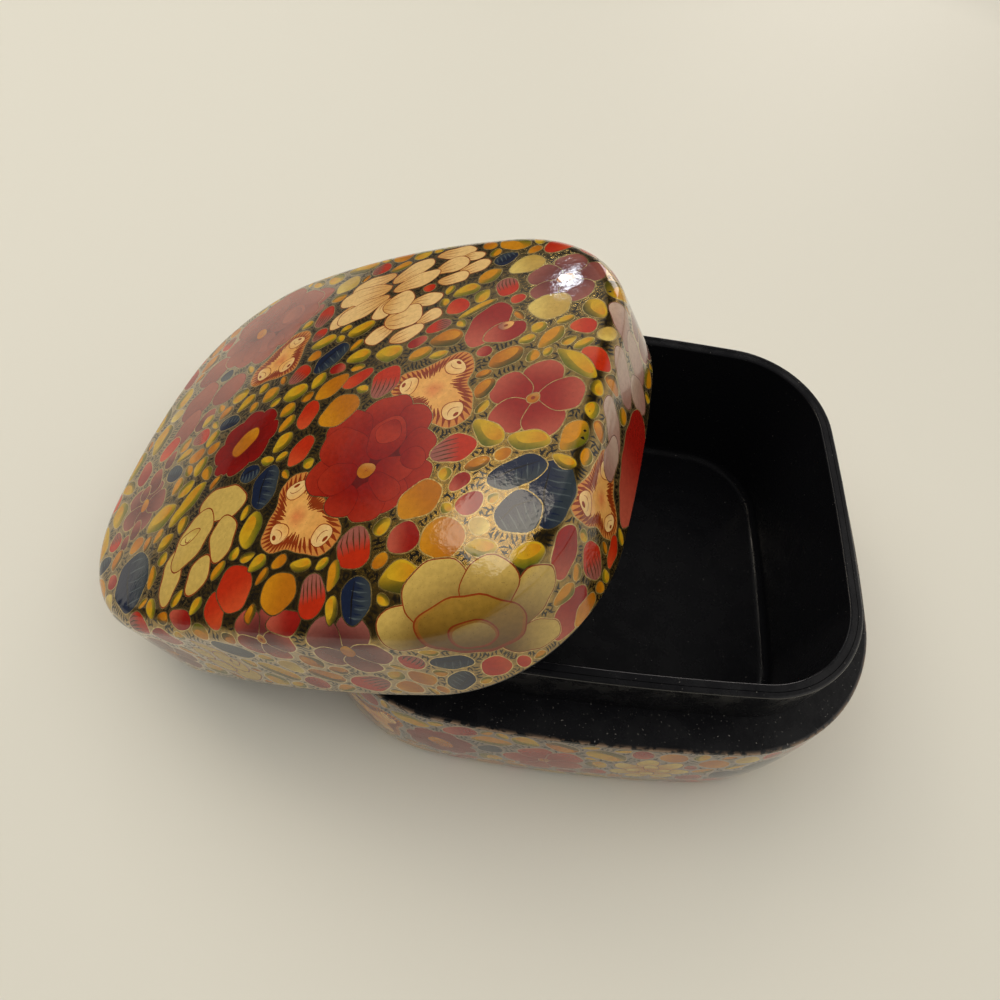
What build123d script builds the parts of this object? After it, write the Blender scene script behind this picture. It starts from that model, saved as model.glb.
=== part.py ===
"""Lacquered trinket box of moulded paper, with its lid off and leaning across one end.

Millimetres, +Z up. The origin is the middle of the base's flat underside. X runs along
the box's long side. The lid lies over the -X end, tilted down to the table and turned.
"""

from build123d import *

import math
import os

# Outline of the closed box, seen from above: four bowed sides and four round corners
box_length = 100.0
box_width = 86.0
side_bow_radius = 265.0
corner_radius = 27.5

# Base shell
base_depth = 27.0
base_belly = 0.5
base_foot_inset = 0.6
base_edge_radius = 4.0
base_bottom = 3.0
ledge_width = 6.5
ledge_edge_radius = 0.6

# Inner bowl, whose wall stands up above the ledge
collar_height = 10.6
collar_bow_radius = 450.0
collar_corner_radius = 18.5
bowl_wall = 1.3
bowl_floor = 1.5
bowl_lean = 1.0
bowl_cove_radius = 1.8
rim_radius = 0.4

# Collar band, glued round the bowl's upper wall
band_wall = 1.0
glue_line = 0.1

# Lid shell
lid_side_height = 15.0
lid_draft = 0.6
lid_shoulder_radius = 3.5
lid_crown_rise = 4.0
lid_crown_radius = 260.0
lid_roof = 4.0
lid_inner_radius = 3.0
lid_fit_clearance = 1.5
lid_rim_radius = 0.6
lid_head_spare = 1.0

# Where the lid lies when it is off: on the base's edge, with one end of its rim on the table
lid_seat_on_base = 14.1
lid_seat_on_rim = 4.3
lid_table_gap = 0.4
lid_shift = 3.6
lid_turn = -8.7
lid_roll = 0.9


def outline(length, width, bow_radius, corner, height):
    """A closed curve at a height: four bowed sides joined by tangent corner arcs."""
    end_centre = Vector(length / 2 - bow_radius, 0)
    side_centre = Vector(0, width / 2 - bow_radius)
    span = side_centre - end_centre
    reach = bow_radius - corner
    rise = math.sqrt(reach**2 - (span.length / 2) ** 2)
    square = Vector(-span.Y, span.X).normalized()
    middle = (end_centre + side_centre) / 2
    corner_centre = max(middle + square * rise, middle - square * rise, key=lambda point: point.X)
    end_way = (corner_centre - end_centre).normalized()
    side_way = (corner_centre - side_centre).normalized()
    end_joint = corner_centre + end_way * corner
    corner_middle = corner_centre + (end_way + side_way).normalized() * corner
    side_joint = corner_centre + side_way * corner

    def at(point, sign_x, sign_y):
        return (sign_x * point.X, sign_y * point.Y, height)

    arcs = [ThreePointArc(at(end_joint, 1, -1), (length / 2, 0, height), at(end_joint, 1, 1))]
    arcs.append(ThreePointArc(at(end_joint, 1, 1), at(corner_middle, 1, 1), at(side_joint, 1, 1)))
    arcs.append(ThreePointArc(at(side_joint, 1, 1), (0, width / 2, height), at(side_joint, -1, 1)))
    arcs.append(ThreePointArc(at(side_joint, -1, 1), at(corner_middle, -1, 1), at(end_joint, -1, 1)))
    arcs.append(ThreePointArc(at(end_joint, -1, 1), (-length / 2, 0, height), at(end_joint, -1, -1)))
    arcs.append(ThreePointArc(at(end_joint, -1, -1), at(corner_middle, -1, -1), at(side_joint, -1, -1)))
    arcs.append(ThreePointArc(at(side_joint, -1, -1), (0, -width / 2, height), at(side_joint, 1, -1)))
    arcs.append(ThreePointArc(at(side_joint, 1, -1), at(corner_middle, 1, -1), at(end_joint, 1, -1)))
    return Face(Wire(arcs))


def box_outline(inset, height):
    """The closed box's outline, drawn in by an inset."""
    return outline(
        box_length - 2 * inset,
        box_width - 2 * inset,
        side_bow_radius - inset,
        corner_radius - inset,
        height,
    )


def collar_outline(inset, height):
    """The collar's outer outline, drawn in by an inset."""
    return outline(
        box_length - 2 * (ledge_width + inset),
        box_width - 2 * (ledge_width + inset),
        collar_bow_radius - inset,
        collar_corner_radius - inset,
        height,
    )


def edges_at(solid, height, tolerance=0.01):
    """The solid's edges that lie level at a height."""
    return [
        edge
        for edge in solid.edges()
        if abs(edge.bounding_box().min.Z - height) < tolerance
        and abs(edge.bounding_box().max.Z - height) < tolerance
    ]


def bowl_core(gap):
    """The space that the inner bowl fills, hollow and all, grown round by a gap."""
    inset = band_wall - gap
    foot = collar_outline(inset + bowl_lean, base_bottom)
    rim = collar_outline(inset, base_depth + collar_height)
    return loft([foot, rim], ruled=True)


def bowl_hollow():
    """The space inside the bowl, from its coved floor to its rim."""
    inset = band_wall + bowl_wall
    floor_height = base_bottom + bowl_floor
    floor = collar_outline(inset + bowl_lean, floor_height)
    rim = collar_outline(inset, base_depth + collar_height)
    hollow = loft([floor, rim], ruled=True)
    return fillet(edges_at(hollow, floor_height), bowl_cove_radius)


def inner_bowl():
    bowl = bowl_core(0) - bowl_hollow()
    mouth = bowl.faces().sort_by(Axis.Z)[-1].inner_wires()[0]
    return fillet(mouth.edges(), rim_radius)


def collar_band():
    ring = extrude(collar_outline(0, base_depth), collar_height)
    ring = fillet(edges_at(ring, base_depth + collar_height), rim_radius)
    return ring - bowl_core(glue_line)


def base_shell():
    top = box_outline(0, base_depth)
    waist = box_outline(-base_belly, base_depth / 2)
    foot = box_outline(base_foot_inset, 0)
    body = loft([foot, waist, top])
    body = fillet(edges_at(body, 0), base_edge_radius)
    body = fillet(edges_at(body, base_depth), ledge_edge_radius)
    return body - bowl_core(glue_line)


def crowned(block, crown_top, shoulder_radius):
    """A block cut off by a low round crown, with the shoulder rounded."""
    crown = Pos(0, 0, crown_top - lid_crown_radius) * Sphere(lid_crown_radius)
    block = block & crown
    shoulder = [edge for edge in block.edges() if edge.bounding_box().min.Z > crown_top / 2]
    return fillet(shoulder, shoulder_radius)


def lid_shell():
    """The lid on its own, level, with its rim on z = 0."""
    crown_top = lid_side_height + lid_shoulder_radius + lid_crown_rise
    head_height = crown_top + lid_head_spare
    lean = lid_draft * head_height / lid_side_height
    block = loft([box_outline(0, 0), box_outline(lean, head_height)], ruled=True)
    outer = crowned(block, crown_top, lid_shoulder_radius)
    block = extrude(collar_outline(-lid_fit_clearance, 0), head_height)
    hollow = crowned(block, crown_top - lid_roof, lid_inner_radius)
    shell = outer - hollow
    return fillet(edges_at(shell, 0), lid_rim_radius)


def lid_off(lid):
    """The lid where it lies: its rim slopes from the table up over the base's edge."""
    slope = math.asin((base_depth - lid_table_gap) / (box_length / 2 + lid_seat_on_rim))
    seat = -box_length / 2 + lid_seat_on_base
    middle = seat - lid_seat_on_rim * math.cos(slope)
    height = base_depth - lid_seat_on_rim * math.sin(slope)
    sloped = Rot(0, 0, lid_turn) * Rot(0, -math.degrees(slope), 0) * Rot(lid_roll, 0, 0)
    return Pos(middle, lid_shift, height) * sloped * lid


parts = {
    "base_shell": base_shell(),
    "inner_bowl": inner_bowl(),
    "collar_band": collar_band(),
    "lid_shell": lid_off(lid_shell()),
}

os.makedirs("parts", exist_ok=True)
for node, solid in parts.items():
    export_step(solid, f"parts/{node}.step")
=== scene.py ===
"""A lacquered trinket box: black lacquer inside, flowers painted all over outside.

The painted coats are thin skins laid on the lid and the base. Each is drawn on a flat plan
in millimetres, shape over shape, and cut into one mesh that is then wrapped on the surface.
"""

import math

import bpy
import numpy as np
from mathutils import Matrix, Vector
from mathutils.bvhtree import BVHTree
from mathutils.geometry import delaunay_2d_cdt


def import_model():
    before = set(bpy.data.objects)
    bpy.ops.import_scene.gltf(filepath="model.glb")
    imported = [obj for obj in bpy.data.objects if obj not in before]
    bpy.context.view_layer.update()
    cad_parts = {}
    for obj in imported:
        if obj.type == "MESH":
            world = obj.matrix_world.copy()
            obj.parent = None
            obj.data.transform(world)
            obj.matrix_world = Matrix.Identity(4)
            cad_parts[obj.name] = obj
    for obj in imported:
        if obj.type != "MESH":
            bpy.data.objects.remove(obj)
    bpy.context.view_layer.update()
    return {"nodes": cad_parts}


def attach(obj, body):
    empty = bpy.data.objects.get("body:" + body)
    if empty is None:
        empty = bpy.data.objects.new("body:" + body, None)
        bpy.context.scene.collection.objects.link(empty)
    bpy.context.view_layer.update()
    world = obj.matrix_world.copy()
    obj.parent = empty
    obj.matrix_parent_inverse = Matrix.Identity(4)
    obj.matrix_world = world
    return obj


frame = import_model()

MM = 0.001
TURN = 2 * math.pi

# The box as the frame has it, in millimetres and degrees
box_length = 100.0
box_width = 86.0
side_bow_radius = 265.0
corner_radius = 27.5
base_depth = 27.0
base_belly = 0.5
base_foot_inset = 0.6
base_edge_radius = 4.0
ledge_edge_radius = 0.6
lid_side_height = 15.0
lid_draft = 0.6
lid_shoulder_radius = 3.5
lid_crown_rise = 4.0
lid_crown_radius = 260.0
lid_rim_radius = 0.6
lid_seat_on_base = 14.1
lid_seat_on_rim = 4.3
lid_table_gap = 0.4
lid_shift = 3.6
lid_turn = -8.7
lid_roll = 0.9

# The painted skins, in millimetres, and how unevenly the hand draws them
hand_sway = 0.15
hand_waver = 1.35
skin_lift = 0.03
brush_line = 0.19
petal_edge = 0.13
tick_width = 0.38
tick_length = 1.35
tick_gap = 0.66
curve_steps = 12
plan_step = 1.3
shoulder_step = 0.45
fine_step = 0.5
wall_steps = 40
foot_steps = 24
cut_tolerance = 1e-5
room_cell = 0.4
room_margin = 9.0
largest_filler = 2.9
smallest_filler = 0.75
filler_gap = 0.42

# Farther than any gap on a plan, wider than a plan, and more flowers than a garland has
FAR = 99.0
whole_plan = 200.0
most_flowers = 99

# What the random draws start from
grid_seed = 3
lid_seed = 7
base_seed = 11

# Each garland: its flowers' radius, the step between its places and how far down the wall it runs
lid_garland = (5.6, 6.0, 7.0)
base_garland = (7.0, 6.0, 11.5)

# Heights on the base, in metres, between which its black lacquer is chipped away
worn_edge = (0.0265, 0.0270)

# Each black lacquer's dust, and where it is chipped away
lacquers = {"black_lacquer": (0.0,), "dusty_lacquer": (0.03,), "worn_lacquer": (0.045, worn_edge)}

# The coats' noises: cells over a metre, detail, and the ranges they are carried from and to
varnish_patches = (1700.0, 3.0, 0, 1, 0.8, 1.2)
paint_mottle = (1300.0, 4.0, 0.35, 0.65, 0.90, 1.06)
paint_specks = (4800.0, 2.0, 0.66, 0.71, 1.0, 0.6)
gold_tone = (1500.0, 4.0, 0.35, 0.7, 0.55, 1.1)
lacquer_chips = (700.0, 6.0, 0.44, 0.52, 0.0, 1.0)
lacquer_dulling = (220.0, 6.0, 0.35, 0.65, 0.13, 0.36)

# The dust's cells and detail, and the noise levels between which dust sets in
dust_grain = (2600.0, 2.0)
dust_levels = (0.74, 0.78)

# The coats' bumps: cells over a metre and detail, then strength and depth in metres
varnish_waves, varnish_relief = (240.0, 2.0), (0.5, 0.00012)
gold_grain, gold_relief = (5200.0, 2.0), (0.35, 0.00006)
lacquer_waves, lacquer_relief = (420.0, 5.0), (0.25, 0.0002)

# The table top: its side in metres, the distances over which it falls into shade, and its
# brightness at both
floor_size = 3.0
floor_shade = (0.32, 0.60, 1.0, 0.16)

# The room's glows, below and on the right: how far a direction leans up or right where each
# starts and ends, and its strength at both
floor_glow = (-0.03, 0.05, 0.25, 0.05)
right_glow = (0.35, 0.70, 0.05, 0.75)

# The same for the pale patch of wall that the lid's far right mirrors, and the way to it
pale_wall_glow = (0.90, 0.985, 0.05, 0.6)
pale_wall_toward = (-0.469, 0.695, 0.545)

# The lamps, in metres and watts: place, side, power, colour, and whether the varnish mirrors them
lamps = {
    "ceiling": ((-0.10, 0.05, 1.30), 2.4, 22.5, (1.0, 0.985, 0.95), False),
    "spread": ((-0.70, 0.40, 0.80), 0.9, 3.2, (1.0, 0.98, 0.92), False),
    "window": ((-0.30, 0.905, 0.41), 0.035, 0.12, (0.82, 0.91, 1.0), True),
    "side_window": ((0.28, 0.84, 0.20), 0.30, 0.9, (1.0, 0.92, 0.88), True),
    "lamp": ((-0.60, 0.385, 0.735), 0.20, 0.50, (1.0, 0.88, 0.70), True),
}
lamp_aim = (-0.02, 0, 0.03)

# The camera, in millimetres and degrees
camera_at = (-22.0, -73.5, 146.9)
camera_aim = (-18.1, -0.1, 27.0)
camera_roll = 9.7
camera_lens = 27.0
sensor_width = 36.0
picture_size = 1000

# The lid's large flowers: the photograph's pixels of their centre and of a point they turn to,
# and their radius in millimetres
big_rose = (366, 470), (386, 438), 9.0
washed_rose = (262, 334), (292, 316), 9.5
crimson_flower = (534, 398), (545, 372), 7.4
ochre_eyed = (246, 442), (275, 410), 7.6
front_cream_rose = (474, 622), (480, 560), 12.0
left_cream_rose = (194, 543), (210, 512), 9.0
front_left_flower = (262, 640), (268, 620), 5.4
blush_eye_at = (507, 325), (520, 322)
mauve_flowers = [
    ((145, 506), (160, 480), 5.6), ((566, 278), (600, 270), 6.8), ((348, 652), (352, 630), 6.4),
]

# The fringed flowers have, besides, three corners: their turns in degrees, and reaches over the radius
even_corners = ((0, 1.05), (120, 1.05), (-120, 1.05))
fringed_flowers = [
    ((434, 389), (406, 383), 8.0, ((5, 1.04), (-102, 1.06), (152, 1.22))),
    ((298, 517), (293, 488), 8.0, ((-8, 1.08), (104, 0.90), (-150, 1.22))),
    ((281, 361), (298, 338), 7.6, ((-8, 1.08), (-114, 0.80), (142, 0.95))),
    ((601, 500), (609, 524), 7.2, even_corners),
]

# Its small motifs: the pixels of their two ends, and how full they are
leaf_spans = [
    (453, 295, 481, 286, 0.62), (479, 284, 501, 269, 0.7), (458, 319, 497, 299, 0.25),
    (431, 342, 464, 335, 0.7), (376, 356, 403, 351, 0.75), (347, 361, 372, 352, 0.65),
    (408, 359, 432, 349, 0.65), (348, 336, 375, 323, 0.65), (488, 366, 524, 349, 0.62),
    (575, 347, 593, 339, 0.7), (559, 349, 596, 377, 0.35), (539, 347, 564, 327, 0.55),
    (588, 300, 603, 317, 0.65), (476, 399, 493, 378, 0.6), (476, 421, 500, 444, 0.6),
    (507, 439, 550, 441, 0.55), (562, 451, 586, 421, 0.6), (553, 456, 575, 466, 0.6),
    (464, 468, 489, 459, 0.6), (312, 348, 336, 337, 0.6), (283, 399, 308, 387, 0.7),
    (262, 403, 280, 387, 0.7), (238, 412, 256, 395, 0.6), (220, 419, 233, 407, 0.8),
    (203, 427, 214, 415, 0.75), (208, 447, 218, 430, 0.6), (280, 417, 296, 404, 0.75),
    (273, 453, 293, 432, 0.6), (211, 489, 221, 475, 0.6), (245, 550, 256, 512, 0.6),
    (248, 570, 266, 557, 0.7), (329, 592, 337, 560, 0.4), (329, 625, 334, 596, 0.5),
    (249, 625, 252, 605, 0.6), (190, 614, 201, 597, 0.7), (152, 618, 151, 600, 0.7),
    (150, 589, 154, 566, 0.4), (157, 552, 174, 534, 0.6), (144, 552, 152, 536, 0.6),
    (169, 527, 206, 482, 0.33), (195, 477, 206, 457, 0.6), (173, 495, 183, 477, 0.6),
    (177, 462, 194, 450, 0.5), (113, 571, 122, 550, 0.6), (465, 548, 497, 548, 0.6),
    (511, 560, 544, 550, 0.8), (555, 605, 574, 585, 0.6), (379, 581, 419, 573, 0.8),
]
ochre_spans = [
    (315, 400, 348, 375, 0.55), (320, 425, 358, 397, 0.8), (261, 593, 295, 593, 1.0),
    (398, 515, 440, 485, 0.75), (420, 538, 464, 538, 0.95), (576, 626, 594, 594, 0.4),
]
flame_spans = [
    (342, 388, 373, 370, 0.5), (289, 467, 312, 436, 0.6), (571, 326, 598, 325, 0.8),
    (585, 347, 607, 372, 0.6), (219, 629, 214, 593, 0.65), (238, 611, 231, 568, 0.8),
    (161, 462, 179, 438, 0.7), (302, 430, 314, 401, 0.6), (609, 568, 616, 536, 0.4),
]
crimson_spans = [
    (450, 489, 468, 474, 0.8), (456, 507, 483, 499, 0.95), (387, 540, 419, 536, 1.0),
    (558, 581, 572, 526, 0.6), (556, 640, 585, 587, 0.5), (267, 625, 301, 621, 0.6),
    (170, 614, 190, 625, 0.6), (623, 528, 641, 414, 0.42), (471, 347, 505, 303, 0.6),
    (483, 339, 527, 325, 0.62),
]
striped_spans = [
    (431, 454, 476, 443, 0.7), (378, 398, 393, 366, 0.75), (353, 527, 355, 569, 0.8),
    (313, 573, 311, 620, 0.6),
]
blue_spans = [
    (314, 373, 348, 344, 0.6), (259, 510, 271, 466, 0.6), (354, 625, 358, 577, 0.7),
    (131, 611, 134, 556, 0.7), (430, 664, 474, 661, 0.5), (546, 528, 556, 460, 0.62),
    (487, 484, 546, 461, 0.55), (497, 525, 539, 500, 1.0),
]
cream_spans = [(510, 270, 545, 259, 0.8), (529, 308, 571, 304, 0.9)]
pale_petal_spans = [
    (395, 276, 356, 291, 0.4), (440, 256, 474, 250, 0.4), (396, 282, 432, 261, 0.5),
    (390, 288, 344, 303, 0.42), (352, 308, 333, 329, 0.5), (386, 298, 340, 322, 0.42),
    (391, 300, 378, 319, 0.6), (462, 259, 484, 254, 0.5), (461, 273, 489, 262, 0.55),
    (438, 271, 468, 260, 0.65), (440, 282, 468, 275, 0.5), (412, 303, 441, 297, 0.5),
    (419, 322, 440, 311, 0.65), (393, 325, 368, 343, 0.6), (391, 342, 421, 327, 0.5),
    (386, 323, 421, 312, 0.72), (386, 306, 412, 300, 0.95), (396, 290, 438, 273, 0.42),
]
washed_spans = [
    (334, 291, 300, 306, 0.80), (324, 306, 296, 322, 0.70), (228, 358, 204, 388, 0.85),
    (246, 374, 214, 404, 0.80), (216, 382, 186, 422, 0.75), (200, 410, 176, 446, 0.65),
]
# Pale petals down the lid's far right side: partly their own pale paint, partly a painted reflection of
# the bright room in the varnish
pale_and_sheen_spans = [
    (614, 302, 628, 352, 0.55), (628, 332, 643, 386, 0.55), (617, 346, 629, 410, 0.55),
    (607, 396, 617, 456, 0.55), (631, 380, 645, 410, 0.80), (617, 440, 606, 478, 0.60),
]
mauve_spans = [
    (216, 408, 196, 432, 0.6), (160, 470, 152, 494, 0.6), (176, 452, 166, 470, 0.6),
    (150, 486, 142, 502, 0.7), (140, 520, 132, 540, 0.6), (128, 536, 122, 552, 0.6),
]


def lid_matrix():
    """From the lid's own frame, level with its rim on z = 0, to where it lies, in millimetres."""
    slope = math.asin((base_depth - lid_table_gap) / (box_length / 2 + lid_seat_on_rim))
    middle = -box_length / 2 + lid_seat_on_base - lid_seat_on_rim * math.cos(slope)
    height = base_depth - lid_seat_on_rim * math.sin(slope)
    place = Matrix.Translation((middle, lid_shift, height))
    turned = place @ Matrix.Rotation(math.radians(lid_turn), 4, "Z")
    sloped = turned @ Matrix.Rotation(-slope, 4, "Y")
    return sloped @ Matrix.Rotation(math.radians(lid_roll), 4, "X")


def heading(angle):
    return np.array([math.cos(angle), math.sin(angle)])


def direction(run):
    return math.atan2(run[1], run[0])


def path_along(points):
    """The length of the path up to each point."""
    return np.concatenate([[0.0], np.cumsum(np.linalg.norm(np.diff(points, axis=0), axis=1))])


def outline_quarter():
    """The outline's arcs in one quarter: each one's centre, radius, first and last angle."""
    end = np.array([box_length / 2 - side_bow_radius, 0.0])
    side = np.array([0.0, box_width / 2 - side_bow_radius])
    span = side - end
    gap = np.linalg.norm(span)
    rise = math.sqrt((side_bow_radius - corner_radius) ** 2 - (gap / 2) ** 2)
    square = np.array([-span[1], span[0]]) / gap
    middle = (end + side) / 2
    corner = max(middle + square * rise, middle - square * rise, key=lambda p: p[0])
    low, high = direction(corner - end), direction(corner - side)
    return [
        (end, side_bow_radius, 0.0, low),
        (corner, corner_radius, low, high),
        (side, side_bow_radius, high, TURN / 4),
    ]


outline_arcs = outline_quarter()


def outline_foot(points):
    """How far outside the outline each point lies, and its way out."""
    arms = np.array([np.abs(points) - centre for centre, _, _, _ in outline_arcs])
    reach = np.linalg.norm(arms, axis=2)
    away = reach - [[radius] for _, radius, _, _ in outline_arcs]
    _, _, low, high = outline_arcs[1]
    angle = np.arctan2(arms[1, :, 1], arms[1, :, 0])
    pick = np.where(away[0] > away[2], 0, 2)
    pick[(angle > low) & (angle < high)] = 1
    rows = np.arange(len(points))
    way = arms[pick, rows] / reach[pick, rows][:, None]
    return away[pick, rows], way * np.where(points < 0, -1.0, 1.0)


def outline_walk(step):
    """Points round the outline about a step apart, their ways out, and the path up to each."""
    rows = []
    for centre, radius, start, stop in outline_arcs:
        count = max(2, math.ceil(radius * (stop - start) / step))
        angle = np.linspace(start, stop, count, endpoint=False)
        way = np.c_[np.cos(angle), np.sin(angle)]
        rows.append(np.c_[centre + radius * way, way])
    right = np.vstack(rows)
    crest, tail = (0.0, box_width / 2, 0.0, 1.0), (-box_length / 2, 0.0, -1.0, 0.0)
    upper = np.vstack([right, crest, right[:0:-1] * (-1, 1, -1, 1)])
    ring = np.vstack([upper, tail, upper[:0:-1] * (1, -1, 1, -1)])
    edge, way = ring[:, :2], ring[:, 2:]
    return edge, way, path_along(np.vstack([edge, edge[:1]]))


lid_lean = math.atan(lid_draft / lid_side_height)
crown_centre = lid_side_height + lid_shoulder_radius + lid_crown_rise - lid_crown_radius
shoulder_arc = lid_shoulder_radius * TURN / 4


class LidSurface:
    """The lid's outside. A plan point inside the shoulder is seen from above; the rest of the
    plan goes on outwards and is wrapped over the shoulder and down the side."""

    def section(self, points):
        """The shoulder's ball centre, its first angle and arc, and how far past the arc's start."""
        away, way = outline_foot(points)
        edge = points - way * away[:, None]
        height = np.full(len(points), lid_side_height)
        for _ in range(4):
            inset = lid_draft * height / lid_side_height + lid_shoulder_radius
            centre = edge - way * inset[:, None]
            reach = (lid_crown_radius - lid_shoulder_radius) ** 2 - (centre**2).sum(1)
            height = crown_centre + np.sqrt(reach)
        outward = (centre * way).sum(1)
        start = np.arctan2(outward, height - crown_centre)
        arc = lid_shoulder_radius * (TURN / 4 - lid_lean - start)
        first = inset - lid_shoulder_radius * np.sin(start)
        return centre, height, way, start, arc, away + first

    def lay(self, points):
        """Where plan points lie on the lid, and the surface's normals there."""
        centre, height, way, start, arc, past = self.section(points)
        angle = start + np.clip(past, 0, arc) / lid_shoulder_radius
        normal = np.c_[way * np.sin(angle)[:, None], np.cos(angle)]
        place = np.c_[centre, height] + lid_shoulder_radius * normal
        down = np.clip(past - arc, 0, None)
        drop = np.full(len(points), -math.cos(lid_lean))
        place += down[:, None] * np.c_[way * math.sin(lid_lean), drop]
        top = past < 0
        seen = points[top]
        crown = np.sqrt(lid_crown_radius**2 - (seen**2).sum(1))
        place[top] = np.c_[seen, crown_centre + crown]
        normal[top] = np.c_[seen, crown] / lid_crown_radius
        return place, normal

    def flatten(self, place):
        """The plan point of a place on the lid."""
        spot = np.array([place[:2]])
        centre, height, way, start, arc, past = self.section(spot)
        if past[0] < 0:
            return spot[0]
        rise = place[2] - height[0]
        angle = math.atan2(((spot - centre) * way).sum(), rise)
        if angle < TURN / 4 - lid_lean:
            far = (angle - start[0]) * lid_shoulder_radius
        else:
            far = arc[0] - rise / math.cos(lid_lean)
        return spot[0] + way[0] * (far - past[0])

    def ring(self, step, down=None):
        """Plan points round the side, this far below the shoulder, or else at the rim's rounding."""
        edge, way, _ = outline_walk(step)
        _, height, _, _, arc, past = self.section(edge)
        if down is None:
            down = (height - lid_rim_radius) / math.cos(lid_lean)
        return edge + way * (arc + down - past)[:, None]

    def border(self):
        """The plan's edge."""
        return self.ring(plan_step)

    def fixed_points(self):
        """Plan points that keep the mesh close to the surface: a grid, closer over the shoulder."""
        span = np.arange(-box_length, box_length, plan_step)
        grid = np.array([(x + (j % 2) * plan_step / 2, y) for j, y in enumerate(span) for x in span])
        grid += np.random.default_rng(grid_seed).uniform(-0.05, 0.05, grid.shape)
        near = self.section(grid)[5]
        grid = grid[(near < -plan_step / 2) | (near > shoulder_arc + plan_step / 2)]
        edge, way, _ = outline_walk(plan_step)
        first = self.section(edge)[5]
        far = np.arange(0, shoulder_arc + shoulder_step, shoulder_step)
        return np.vstack([grid] + [edge + way * (reach - first)[:, None] for reach in far])

    def is_bent(self, points):
        """Whether plan points lie by the shoulder, where long straight edges would cut the corner."""
        return np.abs(self.section(points)[5] - shoulder_arc / 2) < shoulder_arc / 2 + 1

    def is_top(self, points):
        return self.section(points)[5] < 0


class BaseSurface:
    """The base's outside. The plan runs round the outline in x and down the wall in y."""

    def __init__(self):
        edge, way, self.path = outline_walk(fine_step)
        self.round = self.path[-1]
        ring = np.c_[edge, way]
        self.around = np.vstack([ring, ring[:1]]).T
        height = np.linspace(base_depth - ledge_edge_radius, base_edge_radius, wall_steps)
        share = height / base_depth
        inset = base_foot_inset * (1 - share) * (1 - 2 * share) - 4 * base_belly * share * (1 - share)
        angle = np.linspace(0, TURN / 4, foot_steps)[1:]
        inset = np.concatenate([inset, inset[-1] + base_edge_radius * (1 - np.cos(angle))])
        height = np.concatenate([height, base_edge_radius * (1 - np.sin(angle))])
        self.down = path_along(np.c_[inset, height])
        self.depth = self.down[-1] - base_edge_radius / 3
        self.wall = [inset, height, np.gradient(inset, self.down), np.gradient(height, self.down)]

    def lay(self, points):
        """Where plan points lie on the base, and the surface's normals there."""
        along, down = points[:, 0] % self.round, points[:, 1]
        around = np.transpose([np.interp(along, self.path, row) for row in self.around])
        edge, way = around[:, :2], around[:, 2:]
        way = way / np.linalg.norm(way, axis=1)[:, None]
        inset, height, slope_in, slope_up = [np.interp(down, self.down, row) for row in self.wall]
        normal = np.c_[way * -slope_up[:, None], -slope_in]
        normal /= np.linalg.norm(normal, axis=1)[:, None]
        return np.c_[edge - way * inset[:, None], height], normal

    def ring(self, step, down):
        """Plan points round the wall, this far below its top."""
        along = np.arange(step, self.round - step / 2, step)
        return np.c_[along, np.full(len(along), down)]

    def border(self):
        count = int(self.round / plan_step)
        along = np.linspace(0, self.round, count)
        foot = np.full(count, self.depth)
        return np.vstack([np.c_[along, np.zeros(count)], np.c_[along[::-1], foot]])

    def fixed_points(self):
        along = np.arange(plan_step / 2, self.round, plan_step)
        fold = self.depth - base_edge_radius * 1.4
        down = [*np.arange(plan_step, fold, plan_step), *np.arange(fold, self.depth, shoulder_step)]
        return np.array([(x, y) for x in along for y in down])

    def is_bent(self, points):
        return points[:, 1] > self.depth - base_edge_radius * 1.5


class Room:
    """How far each point of a plan is from what is painted there already."""

    def __init__(self, border):
        self.low = border.min(0)
        self.count = np.ceil((border.max(0) - self.low) / room_cell).astype(int)
        xs, ys = [start + room_cell * np.arange(n) for start, n in zip(self.low, self.count)]
        self.x, self.y = np.meshgrid(xs, ys, indexing="ij")
        self.free = np.full(self.x.shape, FAR)
        self.claim(border, whole_plan)
        outside = self.free > 0
        self.free[:] = FAR
        for point in border:
            self.free = np.minimum(self.free, np.hypot(self.x - point[0], self.y - point[1]))
        self.free[outside] = 0

    def claim(self, outline, margin=room_margin):
        """Marks an outline's inside as taken, and what lies near it as near."""
        low = ((outline.min(0) - margin - self.low) / room_cell).astype(int)
        high = ((outline.max(0) + margin - self.low) / room_cell).astype(int) + 1
        low, high = np.clip(low, 0, None), np.clip(high, 0, self.count)
        part = slice(low[0], high[0]), slice(low[1], high[1])
        x, y = self.x[part], self.y[part]
        near = np.full(x.shape, FAR)
        inside = np.zeros(x.shape, bool)
        for a, b in zip(outline, np.roll(outline, -1, axis=0)):
            d = b - a
            t = np.clip(((x - a[0]) * d[0] + (y - a[1]) * d[1]) / (d @ d + 1e-12), 0, 1)
            near = np.minimum(near, np.hypot(x - a[0] - t * d[0], y - a[1] - t * d[1]))
            if d[1]:
                crossing = a[0] + (y - a[1]) / d[1] * d[0]
                inside ^= ((a[1] > y) != (b[1] > y)) & (x < crossing)
        near[inside] = 0
        self.free[part] = np.minimum(self.free[part], near)

    def widest(self):
        """The freest point and how far it is from anything."""
        i, j = np.unravel_index(self.free.argmax(), self.free.shape)
        return np.array([self.x[i, j], self.y[i, j]]), float(self.free[i, j])

    def at(self, point):
        i, j = np.clip(((point - self.low) / room_cell).round().astype(int), 0, self.count - 1)
        return float(self.free[i, j])


def rotated(points, angle):
    c, s = math.cos(angle), math.sin(angle)
    return np.c_[points[:, 0] * c - points[:, 1] * s, points[:, 0] * s + points[:, 1] * c]


def moved(points, place, angle=0.0):
    return rotated(np.asarray(points, float), angle) + place


def grown(outline, by):
    """An outline pushed out from its middle."""
    middle = outline.mean(0)
    arms = outline - middle
    return middle + arms * (1 + by / np.linalg.norm(arms, axis=1))[:, None]


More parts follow.
